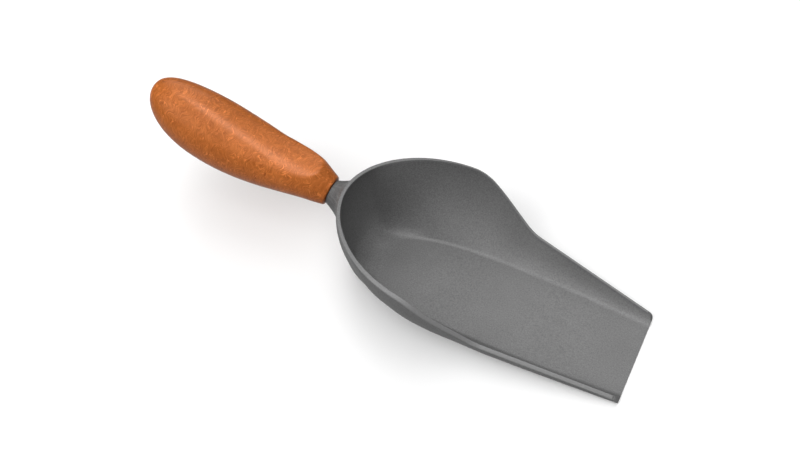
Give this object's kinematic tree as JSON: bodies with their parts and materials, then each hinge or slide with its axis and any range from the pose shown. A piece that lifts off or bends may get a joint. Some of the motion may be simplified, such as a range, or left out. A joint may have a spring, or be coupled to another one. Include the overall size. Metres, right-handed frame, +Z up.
{
  "type": "feed scoop",
  "caption": "Open feed scoop: a round bowl that runs into a tapering pouring spout, with a wooden handle screwed to a neck at the back.",
  "frame": {"origin": "middle of the object's footprint, on the surface the scoop stands on", "axes": "+X towards the pouring lip, the handle rises towards -X, +Z up, the scoop is symmetric about the XZ plane"},
  "size_m": [0.308, 0.1054, 0.0822],
  "materials": {
    "cast_metal": "matte, fine sand-cast grain, dark grey",
    "burl_wood": "orange-brown figured wood under a satin varnish",
    "stud_steel": "zinc plated",
    "insert_brass": "plain"
  },
  "bodies": {
    "root": {"scoop_casting": "cast_metal", "wooden_handle": "burl_wood", "handle_stud": "stud_steel", "threaded_insert": "insert_brass"}
  },
  "joints": []
}
